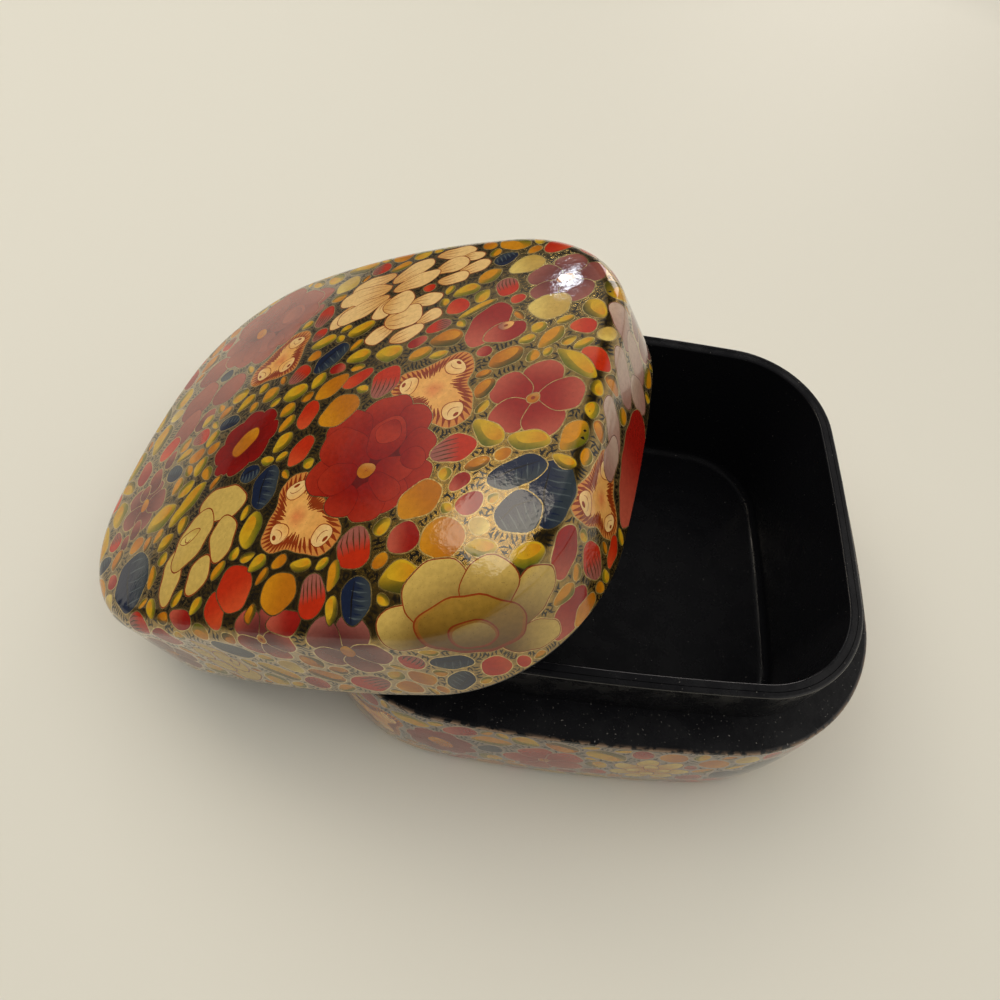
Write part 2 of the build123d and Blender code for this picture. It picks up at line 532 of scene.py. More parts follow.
def oval(length, width, swell=0.0, point=0.0):
    """An outline along x: fuller at its far end with a swell, and sharper at both with a point."""
    steps = int(14 + 2.4 * max(length, width))
    t = np.linspace(0, TURN, steps, endpoint=False) + 0.01
    half = width / 2 * (1 + swell * np.cos(t)) * np.abs(np.sin(t)) ** point
    return np.c_[length / 2 * np.cos(t), half * np.sin(t)]


def laid(span, radius):
    """A petal given from base to tip over a flower's radius: its outline, base and tip."""
    base, tip = np.array(span[:2]) * radius, np.array(span[2:4]) * radius
    length = float(np.linalg.norm(tip - base))
    petal = oval(length, length * span[4], 0.1)
    return moved(petal, (base + tip) / 2, direction(tip - base)), base, tip


def scalloped(radius, lobes, depth):
    """A round outline of lobes with creases between them."""
    t = np.linspace(0, TURN, lobes * curve_steps, endpoint=False)
    r = radius * (1 - depth + depth * np.abs(np.cos(lobes * t / 2)) ** 0.7)
    return np.c_[r * np.cos(t), r * np.sin(t)]


def stroke(line, width):
    """A brush stroke along a line, thin at both ends."""
    line = np.asarray(line, float)
    way = np.gradient(line, axis=0)
    way /= np.linalg.norm(way, axis=1)[:, None] + 1e-9
    side = np.c_[-way[:, 1], way[:, 0]]
    share = np.linspace(0, 1, len(line))
    half = width / 2 * (0.25 + 0.75 * np.sin(share * math.pi) ** 0.6)
    return np.vstack([line - side * half[:, None], (line + side * half[:, None])[::-1]])


def arc(length, width, start, stop):
    """A stretch of an oval, between two angles in degrees."""
    t = np.radians(np.linspace(start, stop, curve_steps))
    return np.c_[length / 2 * np.cos(t), width / 2 * np.sin(t)]


def wheel(radius, count, length, width, swell, far, lead=0.0):
    """Petals set round a centre. Their sizes and their distance are shares of the radius."""
    turns = [TURN * (k + lead) / count for k in range(count)]
    petal = oval(radius * length, radius * width, swell)
    return [moved(petal, heading(turn) * radius * far, turn) for turn in turns]


def turns_left(outline):
    ahead = np.roll(outline, -1, axis=0)
    return np.sum(outline[:, 0] * ahead[:, 1] - ahead[:, 0] * outline[:, 1]) > 0


# Paints, as they look under the amber varnish
black = (0.007, 0.005, 0.003)
deep_red = (0.200, 0.003, 0.001)
dusty_red = (0.320, 0.022, 0.007)
dark_red = (0.105, 0.002, 0.001)
crimson = (0.240, 0.008, 0.004)
pale_crimson = (0.400, 0.075, 0.040)
flame = (0.400, 0.020, 0.003)
scarlet = (0.500, 0.060, 0.014)
ochre = (0.390, 0.120, 0.003)
amber = (0.500, 0.195, 0.005)
yellow = (0.500, 0.290, 0.010)
leaf_green = (0.100, 0.100, 0.005)
olive = (0.052, 0.044, 0.004)
cream = (0.440, 0.275, 0.055)
ivory = (0.600, 0.430, 0.105)
straw = (0.510, 0.340, 0.080)
tan = (0.430, 0.190, 0.040)
peach = (0.680, 0.340, 0.085)
blush = (0.560, 0.160, 0.045)
rust = (0.210, 0.028, 0.004)
navy = (0.007, 0.012, 0.032)
slate = (0.028, 0.036, 0.042)
mist = (0.060, 0.074, 0.078)
mauve = (0.120, 0.022, 0.018)
rose = (0.290, 0.074, 0.044)
dusty_rose = (0.190, 0.040, 0.028)
# The pale pinks of the petals on the lid's far right: partly paint, partly a painted reflection
pale_rose_and_sheen = (0.300, 0.150, 0.110)
ash_pink_and_sheen = (0.420, 0.290, 0.210)
shell_pink = (0.690, 0.440, 0.170)
faded_peach = (0.560, 0.290, 0.080)
apricot = (0.500, 0.185, 0.035)
# The fan rose's creams, painted darker: painted shade on the lid's front side
cream_in_shade = (0.290, 0.160, 0.020)
dark_cream_in_shade = (0.110, 0.046, 0.005)
dusty_pink = (0.270, 0.085, 0.060)
umber = (0.080, 0.026, 0.008)

# The leaves' bright and dark paints
leaf_tones = [
    (yellow, leaf_green), (amber, leaf_green), (yellow, olive), (ochre, olive),
    (yellow, leaf_green),
]

# Gold under varnish, for the ground and for lines: its name, colour and roughness
golds = [("gold_ground", (0.36, 0.22, 0.040), 0.24), ("gold_line", (0.64, 0.46, 0.16), 0.32)]
# The base's golds: the same golds painted darker, as painted shade on the base's side
shaded_base_golds = [
    ("shaded_gold_ground", (0.15, 0.080, 0.018), 0.28), ("shaded_gold_line", (0.34, 0.21, 0.07), 0.36),
]

# The black lacquer, with what lies in it and what shows through, and the surroundings
lacquer_black = (0.006, 0.006, 0.007, 1)
dust_grey = (0.14, 0.13, 0.115, 1)
chip_brown = (0.36, 0.23, 0.14, 1)
table_pale = (0.68, 0.65, 0.56)
room_white = (1.0, 0.96, 0.90, 1)

# The slots of a painted skin's materials
PAINT, GOLD, LINE = 0, 1, 2


class Painting:
    """Shapes painted one over another on a plan. The first is the gilded ground."""

    def __init__(self, surface, seed):
        self.surface = surface
        self.border = surface.border()
        self.random = np.random.default_rng(seed)
        self.ticks, self.shapes, self.rims = [], [], []
        self.room = Room(self.border)

    def spread(self, centre):
        """The 2x2 stretch that makes a motif true to size where it is painted."""
        step = 0.2
        around = np.array([centre, centre + (step, 0), centre + (0, step)])
        place, _ = self.surface.lay(around)
        tilt = ((place[1:] - place[0]) / step).T
        value, vector = np.linalg.eigh(tilt.T @ tilt)
        return vector @ np.diag(1 / np.sqrt(value)) @ vector.T


class Brush:
    """Paints one motif: its own plan, in millimetres, is put at a place and turned there."""

    def __init__(self, painting, centre, turn=0.0, true_size=True):
        self.painting = painting
        self.centre = np.asarray(centre, float)
        self.turn = turn
        self.stretch = painting.spread(self.centre) if true_size else np.eye(2)

    def place(self, points):
        """Points put where they belong on the plan, with the slight unevenness of a hand."""
        placed = self.centre + rotated(np.asarray(points, float), self.turn) @ self.stretch.T
        return placed + hand_sway * np.sin(placed[:, ::-1] * hand_waver + self.centre)

    def fill(self, outline, near, far=None, start=(0, 0), end=None, radial=None, slot=PAINT):
        """A filled shape, whose colour goes from near to far along a line or outwards."""
        far = near if far is None else far
        origin = self.place([start])[0]
        if radial:
            reach = (1 / radial, 0.0)
        elif end is not None:
            run = self.place([end])[0] - origin
            reach = run / (run @ run)
        else:
            reach = (0.0, 0.0)
        self.painting.shapes.append((self.place(outline), slot, near, far, origin, reach, bool(radial)))

    def line(self, points, width=brush_line, colour=None):
        """A line painted in a colour, or in gold."""
        slot = LINE if colour is None else PAINT
        self.fill(stroke(points, width), colour or ivory, slot=slot)

    def petal(self, outline, near, far=None, start=(0, 0), end=None, edge=rust, width=petal_edge):
        """A filled shape with a line round it: a painted one, or gold where edge is None."""
        self.fill(grown(outline, width), edge or ivory, slot=PAINT if edge else LINE)
        self.fill(outline, near, far, start=start, end=end)

    def rims(self, outlines, width=brush_line):
        """Gold lines round parts of a motif. They also claim its room on the plan."""
        for outline in outlines:
            ring = grown(outline, width)
            placed = self.place(ring)
            self.fill(ring, ivory, slot=LINE)
            self.painting.rims.append(placed)
            self.painting.room.claim(placed)


def leaf(brush, length, width, tone):
    """A small leaf: green, with a yellow heart to one side."""
    outline = oval(length, width, 0.12, 0.2)
    bright, dark = leaf_tones[tone % len(leaf_tones)]
    brush.rims([outline], brush_line * 0.8)
    brush.fill(outline, dark, bright, (0, -width * 0.45), (0, width * 0.3))
    heart = moved(oval(length * 0.72, width * 0.56, 0.1, 0.2), (length * 0.04, width * 0.12))
    brush.fill(heart, bright, amber, (-length * 0.3, 0), (length * 0.5, 0))


def berry(brush, length, width, colour=ochre, light=amber):
    """A round petal, lighter at its near end."""
    outline = oval(length, width, 0.1)
    brush.rims([outline])
    brush.fill(outline, light, colour, (-length * 0.5, 0), (length * 0.2, 0))


def bud(brush, length, width):
    """A red bud, pale at its near end, where dark stripes are brushed along it."""
    outline = oval(length, width, 0.1)
    brush.rims([outline])
    brush.fill(outline, dusty_pink, flame, (-length * 0.3, 0), (length * 0.12, 0))
    for share in (-0.66, -0.33, 0.0, 0.33, 0.66):
        y = share * width / 2
        tail = -length * 0.5 * math.sqrt(1 - share**2)
        brush.line([(tail * 0.95, y * 0.9), (tail * 0.4, y * 1.05), (length * 0.12, y)], 0.26, umber)


def blue_petal(brush, length, width):
    """A dark blue petal, its pale side feathered from a vein."""
    outline = oval(length, width, 0.12)
    brush.rims([outline])
    brush.fill(outline, slate, navy, (0, -width * 0.34), (0, width * 0.2))
    for k, share in enumerate(np.linspace(-0.38, 0.34, 9)):
        root = (length * (share + 0.04), width * (0.16 - 0.05 * (k % 3)))
        edge = -width * 0.46 * math.sqrt(1 - 4 * share**2)
        tip = (length * (share - 0.02), edge * (0.9 - 0.25 * (k % 2)))
        middle = ((root[0] + tip[0]) / 2, (root[1] + tip[1]) / 2)
        brush.line([root, middle, tip], 0.26, navy if k % 2 else mist)
    vein = [(-length * 0.46, width * 0.06), (0, width * 0.16), (length * 0.4, width * 0.1)]
    brush.line(vein, 0.3, black)


def blue_flower(brush, radius):
    """Three dark blue lobes."""
    for k in range(3):
        turn = TURN * k / 3
        centre = brush.place(rotated(np.array([[radius * 0.5, 0]]), turn))[0]
        blue_petal(Brush(brush.painting, centre, brush.turn + turn), radius * 1.05, radius * 0.95)


# Each flower's petals: base and tip over its radius, and how full they are
rose_petals = [
    (0.82, 0.09, 1.48, 0.52, 1.3), (0.43, 0.37, 0.84, 1.30, 0.9), (0.88, -0.14, 1.40, -0.50, 1.2),
    (0.50, -0.44, 0.88, -0.96, 1.1), (0.12, -0.35, 0.16, -1.27, 0.75), (-0.10, -0.26, -0.44, -0.98, 0.9),
    (-0.23, -0.13, -0.84, -0.60, 0.95), (-0.34, 0.07, -0.96, 0.14, 1.0), (-0.15, 0.13, -0.40, 1.14, 0.8),
    (0.07, 0.05, 0.44, 1.26, 0.66), (-0.11, 0.11, -0.46, 0.82, 0.8), (0.07, -0.13, 0.22, -0.88, 0.7),
    (-0.08, -0.18, -0.30, -0.86, 0.6), (0.23, -0.12, 1.13, 0.10, 0.8), (0.38, -0.53, 0.50, -0.98, 0.95),
]
cream_petals = [
    (0.76, 0.35, 0.92, -0.80, 0.62), (-0.26, -0.87, 0.60, -0.53, 0.62),
    (-0.94, -0.57, -0.20, -0.50, 0.66), (-1.22, -0.01, -0.18, 0.36, 0.42),
    (-0.58, 0.16, 0.68, 0.00, 0.55),
]
fan_petals = [
    (-0.22, 0.50, 0.02, 1.08, 0.85), (-0.50, -0.40, -0.22, -1.26, 0.55), (-0.02, 0.22, 0.64, 0.68, 0.95),
    (-0.19, -0.50, 0.66, -0.78, 0.62), (0.05, -0.12, 0.74, -0.13, 0.90),
]
fan_dome = (-0.06, 0.64, -0.18, -0.68, 0.62)
fan_heart = (-0.16, 0.28, -0.27, -0.29, 0.80)


def large_rose(brush, radius, deep=deep_red, pale=dusty_red, shade=dark_red):
    """A large rose: petals laid over one another about an ochre eye."""
    petals = [laid(span, radius) for span in rose_petals]
    middle = moved(oval(radius * 1.7, radius * 1.3), (radius * 0.3, 0))
    brush.rims([petal[0] for petal in petals] + [middle])
    brush.fill(middle, shade)
    for outline, base, tip in petals:
        brush.petal(outline, deep, pale, base, tip + (tip - base) * 0.15, edge=shade, width=0.07)
    bud_place = np.array([0.80, 0.02]) * radius
    heart = moved(oval(0.50 * radius, 0.52 * radius), bud_place)
    near, far = bud_place - (0.1 * radius, 0), bud_place + (0.4 * radius, 0)
    brush.petal(heart, pale, deep, near, far, edge=shade, width=0.07)
    eye = oval(radius * 0.30, radius * 0.36)
    brush.petal(eye, ochre, tan, end=(radius * 0.15, 0), edge=shade, width=0.08)
    for turn in (0.3, 1.5, 2.7):
        brush.line([-heading(turn) * radius * 0.05, heading(turn) * radius * 0.05], 0.2, rust)


def five_petals(brush, radius, colour=crimson, light=pale_crimson):
    """An open flower: five petals edged in gold about a small ringed eye."""
    shapes = wheel(radius, 5, 0.92, 0.84, 0.22, 0.56)
    brush.rims(shapes, brush_line * 1.2)
    for outline in shapes:
        middle = outline.mean(0)
        brush.petal(outline, colour, light, middle * 0.5, middle * 2.2, edge=None, width=0.14)
    brush.petal(oval(radius * 0.26, radius * 0.26), ochre, tan, end=(radius * 0.1, 0), edge=None)
    brush.fill(oval(radius * 0.09, radius * 0.09), rust)


def mauve_flower(brush, radius):
    """An open flower in faded pink with an ochre eye."""
    five_petals(brush, radius, mauve, dusty_pink)
    brush.petal(oval(radius * 0.5, radius * 0.34), ochre, amber, end=(radius * 0.2, 0), edge=umber)


def daisy(brush, radius):
    """A red scalloped flower with a large ochre eye."""
    outline = scalloped(radius, 8, 0.14) * (1, 0.82)
    brush.rims([outline])
    brush.fill(outline, dark_red, deep_red, radial=radius * 0.9)
    for k in range(8):
        way = heading(TURN * (k + 0.5) / 8) * (1, 0.82)
        brush.line([way * radius * 0.45, way * radius * 0.86], 0.2, dark_red)
    brush.petal(oval(radius * 0.84, radius * 0.5), ochre, amber, end=(radius * 0.4, 0), width=0.2)


def fringed(brush, radius, corners=even_corners):
    """A peach three-cornered flower: rust strokes all round, and a pale ringed cell in each corner."""
    steps = 54
    t = np.linspace(0, TURN, steps, endpoint=False)
    r = np.full(steps, 0.56)
    for turn, reach in corners:
        apart = (t - math.radians(turn) + TURN / 2) % TURN - TURN / 2
        r += (reach - 0.56) * np.exp(-((apart / 0.66) ** 2))
    outline = np.c_[r * np.cos(t), r * np.sin(t)] * radius
    brush.rims([outline])
    brush.fill(outline, apricot)
    brush.fill(outline * 0.78, peach, apricot, radial=radius * 1.5)
    for k in range(steps):
        way = heading(t[k] + 0.10)
        depth = 0.22 + 0.14 * r[k] + 0.05 * (k % 2)
        inner = way * radius * (r[k] - depth)
        brush.line([outline[k] * 0.99, (outline[k] + inner) / 2 + way * 0.1, inner], 0.58, rust)
    brush.fill(oval(radius * 0.7, radius * 0.5), blush, peach, radial=radius * 0.32)
    for turn, reach in corners:
        angle = math.radians(turn)
        way = heading(angle) * radius
        cell = moved(oval(radius * 0.40, radius * 0.48), way * (reach - 0.42), angle)
        brush.petal(cell, shell_pink, peach, way * reach * 0.7, way * reach * 0.3, width=0.15)
        brush.fill(moved(oval(radius * 0.08, radius * 0.13), way * (reach - 0.30), angle), rust)
        brow = arc(radius * 0.22, radius * 0.30, 100, 260)
        brush.line(moved(brow, way * (reach - 0.36), angle), 0.13, rust)


def cream_rose(brush, radius):
    """A cream rose seen aslant: four petals and a long rolled heart, outlined in rust."""
    petals = [laid(span, radius) for span in cream_petals]
    brush.rims([petal[0] for petal in petals], 0.3)
    for outline, base, tip in petals:
        run = tip - base
        brush.petal(outline, cream, straw, base - run * 0.4, base + run * 0.5, width=0.24)
    roll = moved(oval(0.46 * radius, 0.24 * radius, 0.1, 0.5), (0.10 * radius, 0.20 * radius), -0.85)
    brush.petal(roll, ivory, cream, (0, 0), (0.3 * radius, 0), width=0.18)
    curl = arc(0.26 * radius, 0.16 * radius, 100, 250)
    brush.line(moved(curl, (0.12 * radius, 0.20 * radius)), 0.22, rust)


def fan_rose(brush, radius):
    """A cream rose seen from one side: a fan of petals behind a wide rolled one. Its creams are painted
    darker, as painted shade on the lid's front side.
    """
    fan = [laid(span, radius) for span in fan_petals]
    dome, heart = laid(fan_dome, radius)[0], laid(fan_heart, radius)[0]
    brush.rims([petal[0] for petal in fan] + [dome], 0.3)
    for outline, base, tip in fan:
        brush.petal(outline, dark_cream_in_shade, straw, base - (tip - base) * 0.1, tip, width=0.16)
    low, high = np.array([-0.60, 0]) * radius, np.array([0.42, 0]) * radius
    brush.petal(dome, rust, cream_in_shade, low, high, width=0.26)
    brush.fill(dome * 0.94, dark_cream_in_shade, cream_in_shade, low, high)
    brush.petal(heart, rust, cream_in_shade, low, high, width=0.24)
    brush.fill(moved(heart * 0.9, (-0.03 * radius, 0)), dark_cream_in_shade, straw, low, high)


def spray(brush, radius):
    """A loose head of long pale petals outlined in rust, in two rows."""
    outer = wheel(radius, 7, 0.78, 0.50, 0.2, 0.60)
    inner = wheel(radius, 4, 0.52, 0.36, 0.2, 0.26, 0.4)
    brush.rims(outer, 0.2)
    for outline in outer + inner:
        brush.petal(outline, tan, ivory, outline.mean(0) * 0.4, outline.mean(0) * 1.6, width=0.11)


def pale_petal(brush, length, width):
    """One long petal of a loose cream head."""
    outline = oval(length * 1.12, width * 1.26, 0.2)
    brush.rims([outline])
    brush.petal(outline, faded_peach, shell_pink, (-length * 0.5, 0), (length * 0.1, 0), width=0.17)
    for side in (-0.28, 0.0, 0.28):
        root, fork = (-length * 0.52, side * width * 0.6), (-length * 0.2, side * width * 1.2)
        brush.line([root, fork, (length * (0.16 - abs(side) * 0.3), side * width * 1.4)], 0.13, rust)


def washed_petals(spans, near=rose, far=dusty_rose):
    """Wide petals in soft pinks that run into one another."""
    outlines = [oval(length, width, 0.1) for _, length, width in spans]
    for (brush, _, _), outline in zip(spans, outlines):
        brush.rims([outline])
    for (brush, length, _), outline in zip(spans, outlines):
        brush.petal(outline, near, far, (-length / 2, 0), (length / 2, 0), edge=mauve)


def blush_eye(brush):
    """A small pale eye ringed in rust."""
    brush.petal(oval(2.6, 1.9), dusty_pink, peach, (-1, 0), (1, 0))
    brush.fill(oval(0.7, 0.6), rust)


class Aim:
    """Finds where a pixel of the photograph lies on the lid's plan, and puts motifs there."""

    def __init__(self, painting, camera, to_lid, shell):
        self.painting, self.camera, self.to_lid, self.shell = painting, camera, to_lid, shell

    def spot(self, pixel):
        half = picture_size / 2
        focal = camera_lens / sensor_width * picture_size
        ray = Vector(((pixel[0] - half) / focal, (half - pixel[1]) / focal, -1))
        ray = (self.camera.to_3x3() @ ray).normalized()
        hit = self.shell.ray_cast(self.camera.translation, ray)[0]
        return self.painting.surface.flatten(np.array(self.to_lid @ (hit / MM)))

    def flower(self, pixel, toward, *form):
        """A brush at a pixel, turned to another, with the flower's radius and corners if given."""
        centre = self.spot(pixel)
        return Brush(self.painting, centre, direction(self.spot(toward) - centre)), *form

    def span(self, x1, y1, x2, y2, full):
        """A brush between two pixels, with the length and width of what fills the span."""
        tail, head = self.spot((x1, y1)), self.spot((x2, y2))
        length = float(np.linalg.norm(head - tail))
        brush = Brush(self.painting, (tail + head) / 2, direction(head - tail), true_size=False)
        return brush, length, length * full

    def spans(self, spans, paint, *colours):
        """The same small motif in each span."""
        for span in spans:
            paint(*self.span(*span), *colours)


def lid_picture(aim):
    """The motifs that the photograph shows on the lid, each over those before it."""
    washed_petals([aim.span(*span) for span in washed_spans])
    large_rose(*aim.flower(*washed_rose), dusty_rose, rose, mauve)
    for flower in mauve_flowers:
        mauve_flower(*aim.flower(*flower))
    five_petals(*aim.flower(*front_left_flower), mauve, pale_crimson)
    for flower in fringed_flowers:
        fringed(*aim.flower(*flower))
    aim.spans(flame_spans, berry, flame, scarlet)
    large_rose(*aim.flower(*big_rose))
    five_petals(*aim.flower(*crimson_flower))
    daisy(*aim.flower(*ochre_eyed))
    aim.spans(pale_petal_spans, pale_petal)
    aim.spans(mauve_spans, berry, mauve, rose)
    # The petals on the lid's far right, pale partly as a painted reflection
    washed_petals([aim.span(*span) for span in pale_and_sheen_spans], ash_pink_and_sheen, pale_rose_and_sheen)
    aim.spans(crimson_spans, berry, crimson, pale_crimson)
    blush_eye(*aim.flower(*blush_eye_at))
    aim.spans(ochre_spans, berry)
    aim.spans(cream_spans, berry, cream, ivory)
    aim.spans(striped_spans, bud)
    aim.spans(blue_spans, blue_petal)
    for tone, span in enumerate(leaf_spans):
        leaf(*aim.span(*span), tone)
    cream_rose(*aim.flower(*left_cream_rose))
    fan_rose(*aim.flower(*front_cream_rose))


def garland(painting, radius, step, down):
    """Larger flowers in turn round a wall, wherever there is room for them."""
    kinds = [mauve_flower, cream_rose, large_rose, fringed, daisy, five_petals, spray, blue_flower]
    turns = painting.random.uniform(0, TURN, most_flowers)
    place = 0
    for centre in painting.surface.ring(step, down):
        if painting.room.at(centre) > radius * 0.95:
            kinds[place % len(kinds)](Brush(painting, centre, turns[place]), radius)
            place += 1


# What fills a gap besides leaves: the size it needs, the draws below which it comes,
# the motif, whether it stretches along the gap, and its colours
fillers = [
    (1.5, 0.12, bud, True, ()),
    (1.5, 0.20, blue_petal, True, ()),
    (1.2, 0.30, berry, False, ()),
    (1.2, 0.42, berry, True, (crimson, pale_crimson)),
    (1.2, 0.50, berry, False, (flame, scarlet)),
    (1.2, 0.54, berry, False, (cream, ivory)),
]


def fill_gaps(painting):
    """Fills what is bare with small motifs, from the widest gap to the smallest."""
    room, chance = painting.room, painting.random
    ways = [heading(TURN * k / 16) for k in range(8)]
    while True:
        centre, free = room.widest()
        radius = free - filler_gap
        if radius < smallest_filler:
            break
        size = min(radius, largest_filler * chance.uniform(0.7, 1.0))
        reach = [min(room.at(centre + size * 1.5 * way * side) for side in (-1, 1)) for way in ways]
        turn = TURN * (int(np.argmax(reach)) / 16 + chance.choice([0, 0.5]))
        brush = Brush(painting, centre, turn, true_size=False)
        draw = chance.random()
        longer = size + min(max(max(reach) - size * 0.2, 0), size * 0.6)
        for least, most, motif, stretches, colours in fillers:
            if size > least and draw < most:
                motif(brush, 2 * (longer if stretches else size), 1.8 * size, *colours)
                break
        else:
            leaf(brush, 2 * longer, 1.8 * size, int(chance.integers(len(leaf_tones))))


def add_ticks(painting):
    """Short black strokes standing on each motif's gold line, where nothing else is drawn."""
    taken = set()
    for rim in painting.rims:
        ring = np.vstack([rim, rim[:1]])
        path = path_along(ring)
        side = 1 if turns_left(rim) else -1
        lean = painting.random.uniform(-0.25, 0.25)
        for far in np.arange(0, path[-1], tick_gap):
            k = min(np.searchsorted(path, far, side="right") - 1, len(rim) - 1)
            run = ring[k + 1] - ring[k]
            run = run / (np.linalg.norm(run) + 1e-9)
            foot = ring[k] + run * (far - path[k])
            out = rotated(np.array([[run[1], -run[0]]]) * side, lean)[0]
            length = tick_length * painting.random.uniform(0.7, 1.2)
            middle = foot + out * length * 0.6
            cell = tuple((middle / (tick_gap * 0.8)).astype(int))
            if cell in taken or painting.room.at(middle) < tick_width:
                continue
            taken.add(cell)
            bend = np.array([-out[1], out[0]]) * length * 0.12
            line = [foot + out * length * 0.1, foot + out * length * 0.55 + bend, foot + out * length]
            tick = stroke(line, tick_width)
            painting.ticks.append((tick, PAINT, black, black, foot, (0.0, 0.0), False))


def divided(outlines, surface):
    """The outlines, each turning left, with long edges divided where the surface bends."""
    turned = [outline if turns_left(outline) else outline[::-1] for outline in outlines]
    starts = np.vstack(turned)
    runs = np.vstack([np.roll(outline, -1, axis=0) for outline in turned]) - starts
    length = np.linalg.norm(runs, axis=1)
    bent = surface.is_bent(starts + runs / 2)
    counts = np.where(bent, np.maximum(np.ceil(length / shoulder_step), 1), 1).astype(int)
    first = 0
    for outline in turned:
        rows = range(first, first + len(outline))
        first += len(outline)
        yield [tuple(starts[i] + runs[i] * k / counts[i]) for i in rows for k in range(counts[i])]


def cut_skin(painting):
    """Cuts the painting's shapes into triangles. Each shows the last shape painted there."""
    ground = (painting.border, GOLD, ochre, ochre, (0.0, 0.0), (0.0, 0.0), False)
    shapes = [ground] + painting.ticks + painting.shapes
    points, faces = [], []
    for outline in divided([shape[0] for shape in shapes], painting.surface):
        faces.append(list(range(len(points), len(points) + len(outline))))
        points.extend(outline)
    points.extend(painting.surface.fixed_points().tolist())
    cut = delaunay_2d_cdt([Vector(p) for p in points], [], faces, 0, cut_tolerance)
    spots = np.array([tuple(v) for v in cut[0]])
    kept = [(face, max(origins)) for face, origins in zip(cut[2], cut[5]) if 0 in origins]
    return spots, np.array([face for face, _ in kept]), np.array([last for _, last in kept]), shapes


def skin_mesh(name, painting, spots, triangles, tops, shapes, to_world):
    """One painted mesh from the cut plan, wrapped on its surface, with its colours."""
    used, index = np.unique(triangles, return_inverse=True)
    triangles, spots = index.reshape(-1, 3), spots[used]
    place, normal = painting.surface.lay(spots)
    matrix = np.array(to_world)
    place = (place + normal * skin_lift) @ matrix[:3, :3].T + matrix[:3, 3]
    normal = normal @ matrix[:3, :3].T
    corners = place[triangles]
    facing = np.cross(corners[:, 1] - corners[:, 0], corners[:, 2] - corners[:, 0])
    flip = (facing * normal[triangles[:, 0]]).sum(1) < 0
    triangles[flip] = triangles[flip][:, ::-1]
    mesh = bpy.data.meshes.new(name)
    mesh.from_pydata((place * MM).tolist(), [], triangles.tolist())
    slots = np.array([shape[1] for shape in shapes], np.int32)
    mesh.polygons.foreach_set("material_index", slots[tops])
    mesh.polygons.foreach_set("use_smooth", np.ones(len(triangles), bool))
    mesh.normals_split_custom_set_from_vertices(normal.tolist())
    values = [np.array([shape[k] for shape in shapes], float)[tops][:, None] for k in (2, 3, 4, 5)]
    near, far, origin, reach = values
    radial = np.array([shape[6] for shape in shapes])[tops][:, None]
    arms = spots[triangles] - origin
    along = np.where(radial, np.linalg.norm(arms, axis=2) * reach[:, :, 0], (arms * reach).sum(2))
    share = np.clip(along, 0, 1)[..., None]
    share = share * share * (3 - 2 * share)
    colour = near + (far - near) * share
    opaque = np.ones(colour.shape[:2] + (1,))
    paint = mesh.attributes.new("paint", "FLOAT_COLOR", "CORNER")
    paint.data.foreach_set("color", np.concatenate([colour, opaque], axis=2).ravel())
    return mesh


def principled(name):
    material = bpy.data.materials.new(name)
    material.use_nodes = True
    return material, material.node_tree, material.node_tree.nodes["Principled BSDF"]


def feed(tree, node, inputs):
    """Sets a node's inputs, or links them where they are given another node's output."""
    for key, value in inputs.items():
        if isinstance(value, bpy.types.NodeSocket):
            tree.links.new(value, node.inputs[key])
        else:
            node.inputs[key].default_value = value


def wired(tree, kind, output, inputs, **settings):
    """An output of a new shader node."""
    made = tree.nodes.new("ShaderNode" + kind)
    for key, value in settings.items():
        setattr(made, key, value)
    feed(tree, made, inputs)
    return made.outputs[output]


def ranged(tree, value, low, high, first, last):
    """A value carried from one range to another."""
    ranges = {"From Min": low, "From Max": high, "To Min": first, "To Max": last}
    return wired(tree, "MapRange", "Result", {"Value": value, **ranges})


def noise(tree, scale, detail, *ranges):
    """Noise on the object's own coordinates, in cells over a metre, carried to another range."""
    where = wired(tree, "TexCoord", "Object", {})
    value = wired(tree, "TexNoise", "Fac", {"Vector": where, "Scale": scale, "Detail": detail})
    return ranged(tree, value, *ranges) if ranges else value


def maths(tree, operation, first, second):
    return wired(tree, "Math", "Value", {0: first, 1: second}, operation=operation)


def scaled(tree, colour, factor):
    return wired(tree, "VectorMath", "Vector", {0: colour, "Scale": factor}, operation="SCALE")


def mixed(tree, factor, first, second):
    """Two colours mixed."""
    colours = {"Factor": factor, "A": first, "B": second}
    return wired(tree, "Mix", "Result", colours, data_type="RGBA")


def bump(tree, height, strength, distance):
    heights = {"Height": height, "Strength": strength, "Distance": distance}
    return wired(tree, "Bump", "Normal", heights)


def varnish(tree, shader):
    """A clear coat with the slight waviness of hand-laid varnish."""
    uneven = noise(tree, *varnish_patches)
    height = maths(tree, "MULTIPLY", noise(tree, *varnish_waves), uneven)
    waves = bump(tree, height, *varnish_relief)
    coat = {"Coat Weight": 1.0, "Coat Roughness": 0.07, "Coat IOR": 1.54, "Coat Normal": waves}
    feed(tree, shader, coat)


def paint_material():
    """Opaque paints under varnish. Their colours lie on the mesh, mottled by the brush."""
    material, tree, shader = principled("paint")
    colour = wired(tree, "Attribute", "Color", {}, attribute_name="paint")
    mottle = noise(tree, *paint_mottle)
    specks = noise(tree, *paint_specks)
    colour = scaled(tree, colour, maths(tree, "MULTIPLY", mottle, specks))
    feed(tree, shader, {"Base Color": colour, "Roughness": 0.5, "Specular IOR Level": 0.0})
    varnish(tree, shader)
    return material


def gold_material(name, colour, roughness):
    """Gold powder under varnish."""
    material, tree, shader = principled(name)
    tone = noise(tree, *gold_tone)
    grain = bump(tree, noise(tree, *gold_grain), *gold_relief)
    feed(tree, shader, {"Base Color": scaled(tree, colour, tone), "Normal": grain})
    feed(tree, shader, {"Metallic": 1.0, "Roughness": roughness})
    varnish(tree, shader)
    return material


